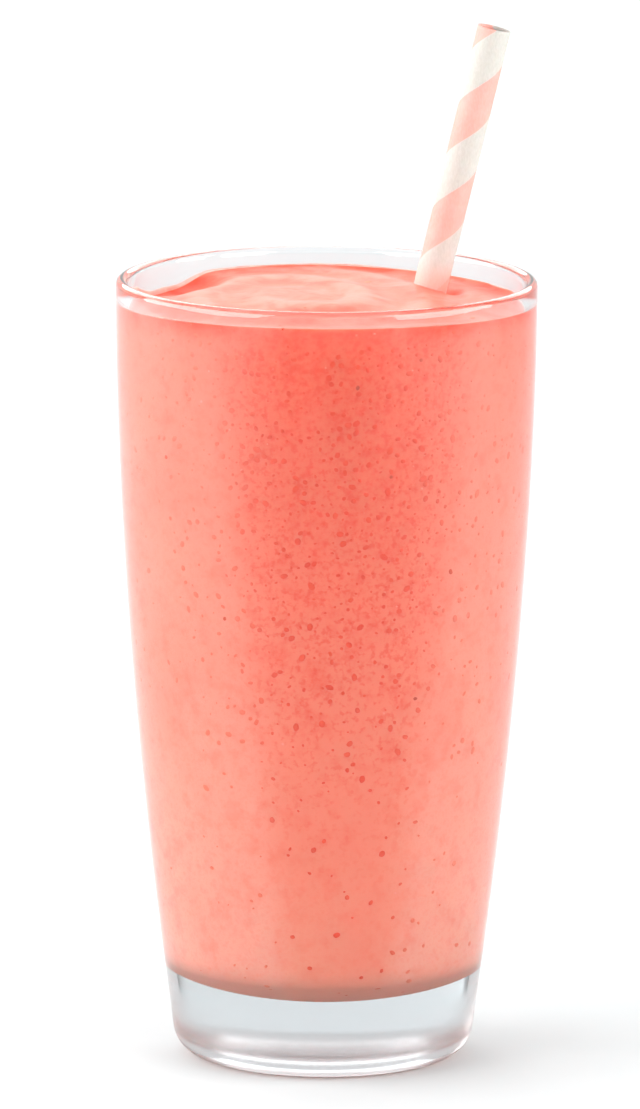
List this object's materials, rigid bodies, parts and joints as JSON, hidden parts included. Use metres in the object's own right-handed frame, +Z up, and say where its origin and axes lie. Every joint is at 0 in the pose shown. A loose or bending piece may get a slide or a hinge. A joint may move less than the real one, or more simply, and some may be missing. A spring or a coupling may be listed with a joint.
{
  "type": "strawberry smoothie",
  "caption": "Tall tapered tumbler with a thick clear base, filled almost to the rim with a thick pink smoothie, and a striped paper straw leaning in it.",
  "frame": {"origin": "middle of the glass's foot, on the table", "axes": "+Z up along the glass's axis, +X to the side the straw leans to, -Y towards the front"},
  "size_m": [0.086, 0.086, 0.2112],
  "materials": {
    "glass": "clear polished soda-lime glass",
    "smoothie": "opaque blended strawberry and milk, moist, with darker pulp and seeds",
    "straw": "spiral-wound matte paper with cream and salmon stripes"
  },
  "bodies": {
    "root": {"glass": "glass", "smoothie": "smoothie", "straw": "straw"}
  },
  "joints": []
}
